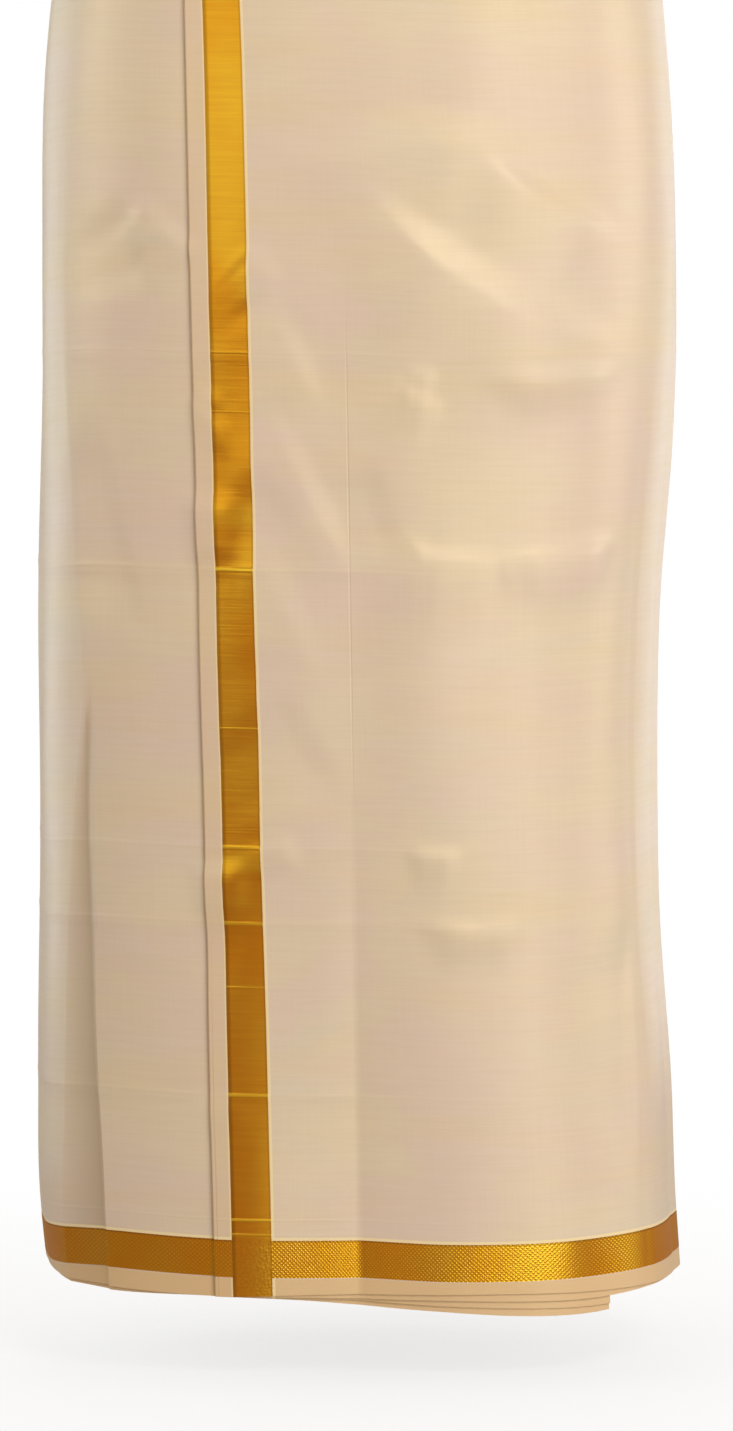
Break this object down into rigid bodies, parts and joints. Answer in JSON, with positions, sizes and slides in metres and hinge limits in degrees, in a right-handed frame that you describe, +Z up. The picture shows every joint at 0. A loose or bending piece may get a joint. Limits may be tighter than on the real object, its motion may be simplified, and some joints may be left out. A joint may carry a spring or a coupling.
{
  "type": "dhoti, worn, without its wearer",
  "caption": "Cream dhoti worn as a wrapped tube to the ankles, with a woven gold border down its free edge and along its hem, and a turned-down waist.",
  "frame": {"origin": "middle of the waist, level with the top of the turned-down cloth, where the wearer holds it up", "axes": "+Z up, -Y the front, +X to the wearer's left (right in the picture)"},
  "size_m": [0.4014, 0.2759, 0.9874],
  "materials": {
    "cream_cloth": "fine plain weave with a soft silky sheen",
    "gold_border": "woven metallic thread, ribbed, with a small diamond pattern at the hem"
  },
  "bodies": {
    "root": {"front_wrap": "cream_cloth", "back_wrap": "cream_cloth", "under_wrap": "cream_cloth", "waist_fold": "cream_cloth", "gold_end_border": "gold_border", "gold_hem_corner": "gold_border", "gold_hem_front": "gold_border", "gold_hem_back": "gold_border", "gold_hem_under": "gold_border"}
  },
  "joints": []
}
